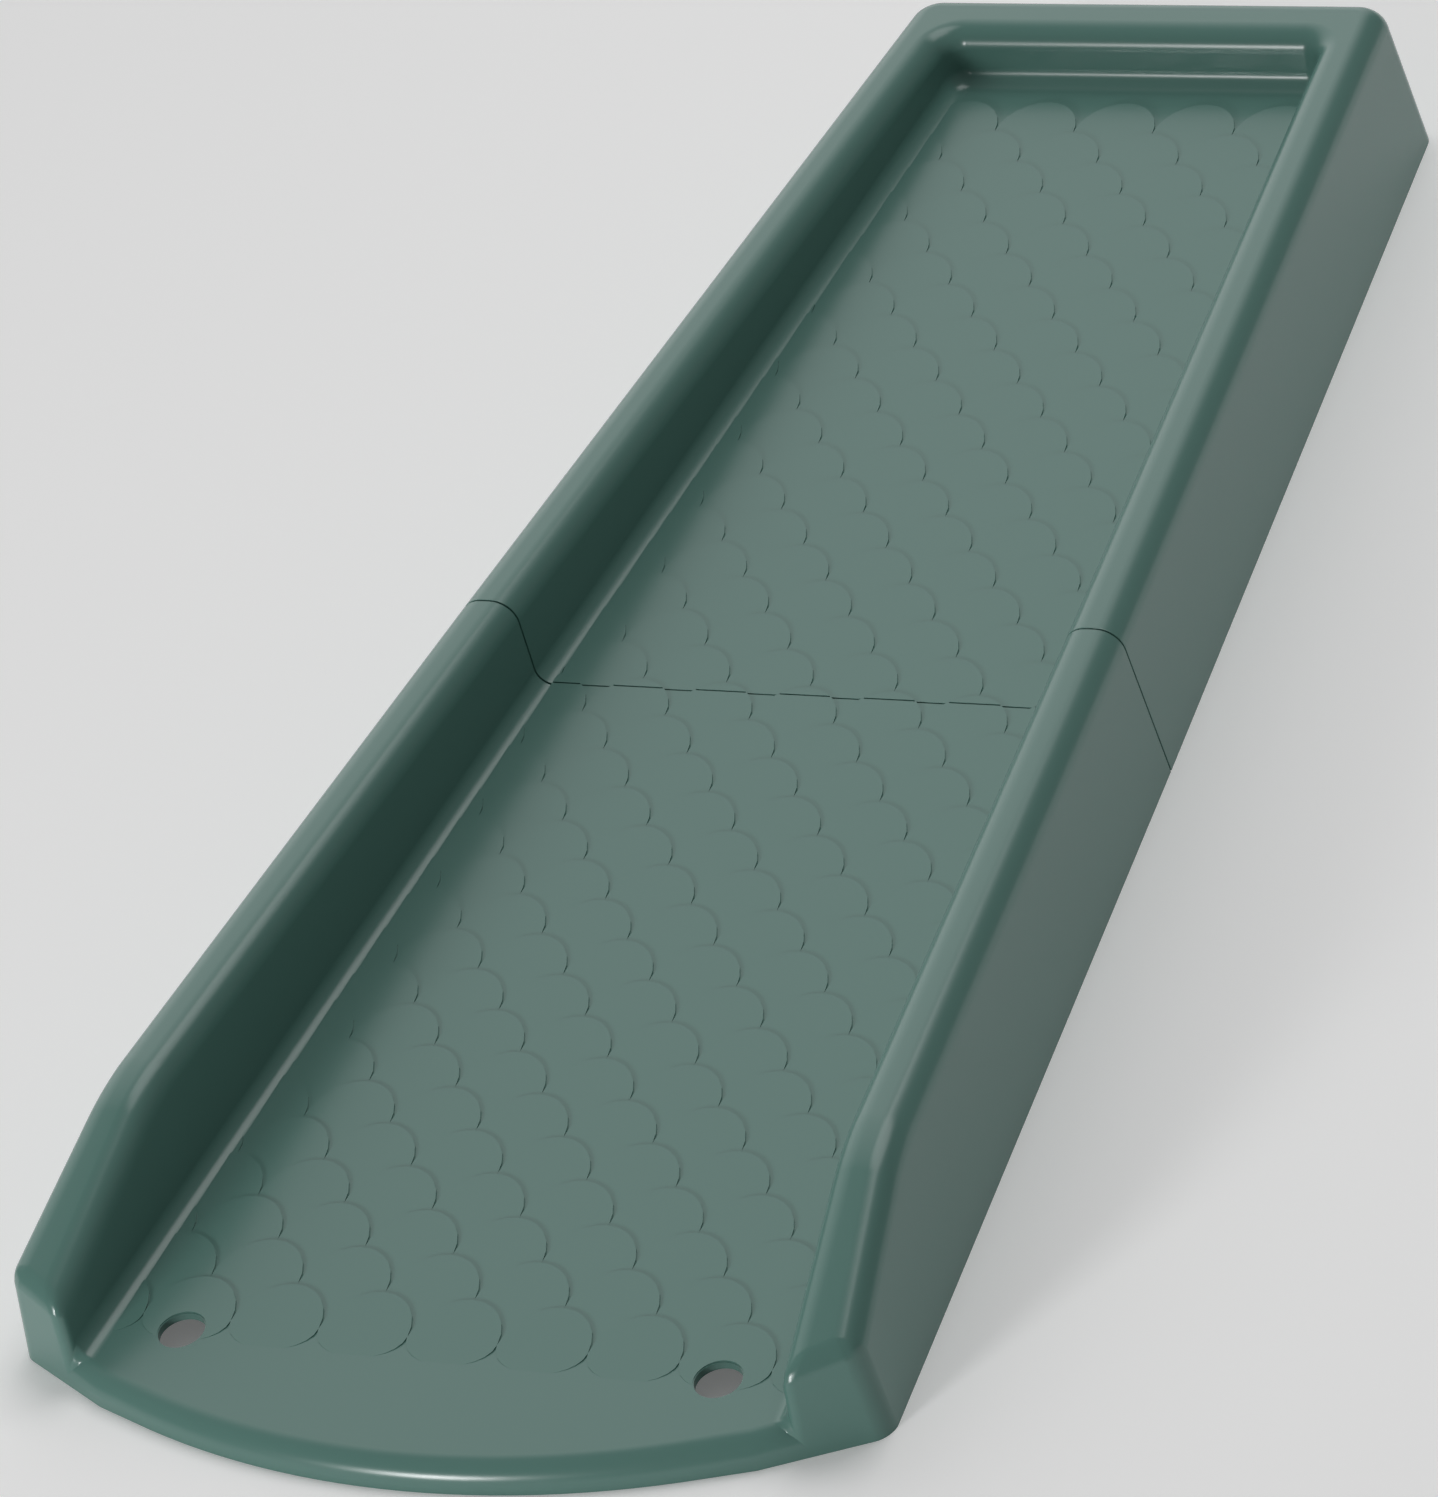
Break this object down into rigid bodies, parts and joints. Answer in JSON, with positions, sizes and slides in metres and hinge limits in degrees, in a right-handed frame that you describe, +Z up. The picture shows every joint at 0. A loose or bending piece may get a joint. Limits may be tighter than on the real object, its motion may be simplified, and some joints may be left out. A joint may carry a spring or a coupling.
{
  "type": "downspout splash block",
  "caption": "Low plastic trough laid on the ground under a downspout, closed at the back, flaring to a bowed open mouth, with a fish-scale floor and holes for ground stakes.",
  "frame": {"origin": "middle of the footprint, on the ground", "axes": "+Z up; +Y along the block towards its closed back wall, so water leaves towards -Y; +X across the block"},
  "size_m": [0.2436, 0.61, 0.047],
  "materials": {
    "green_plastic": "semi-gloss moulded dark green, smooth, with crisp highlights on the rounded edges"
  },
  "bodies": {
    "root": {"rear_section": "green_plastic", "front_section": "green_plastic"}
  },
  "joints": []
}
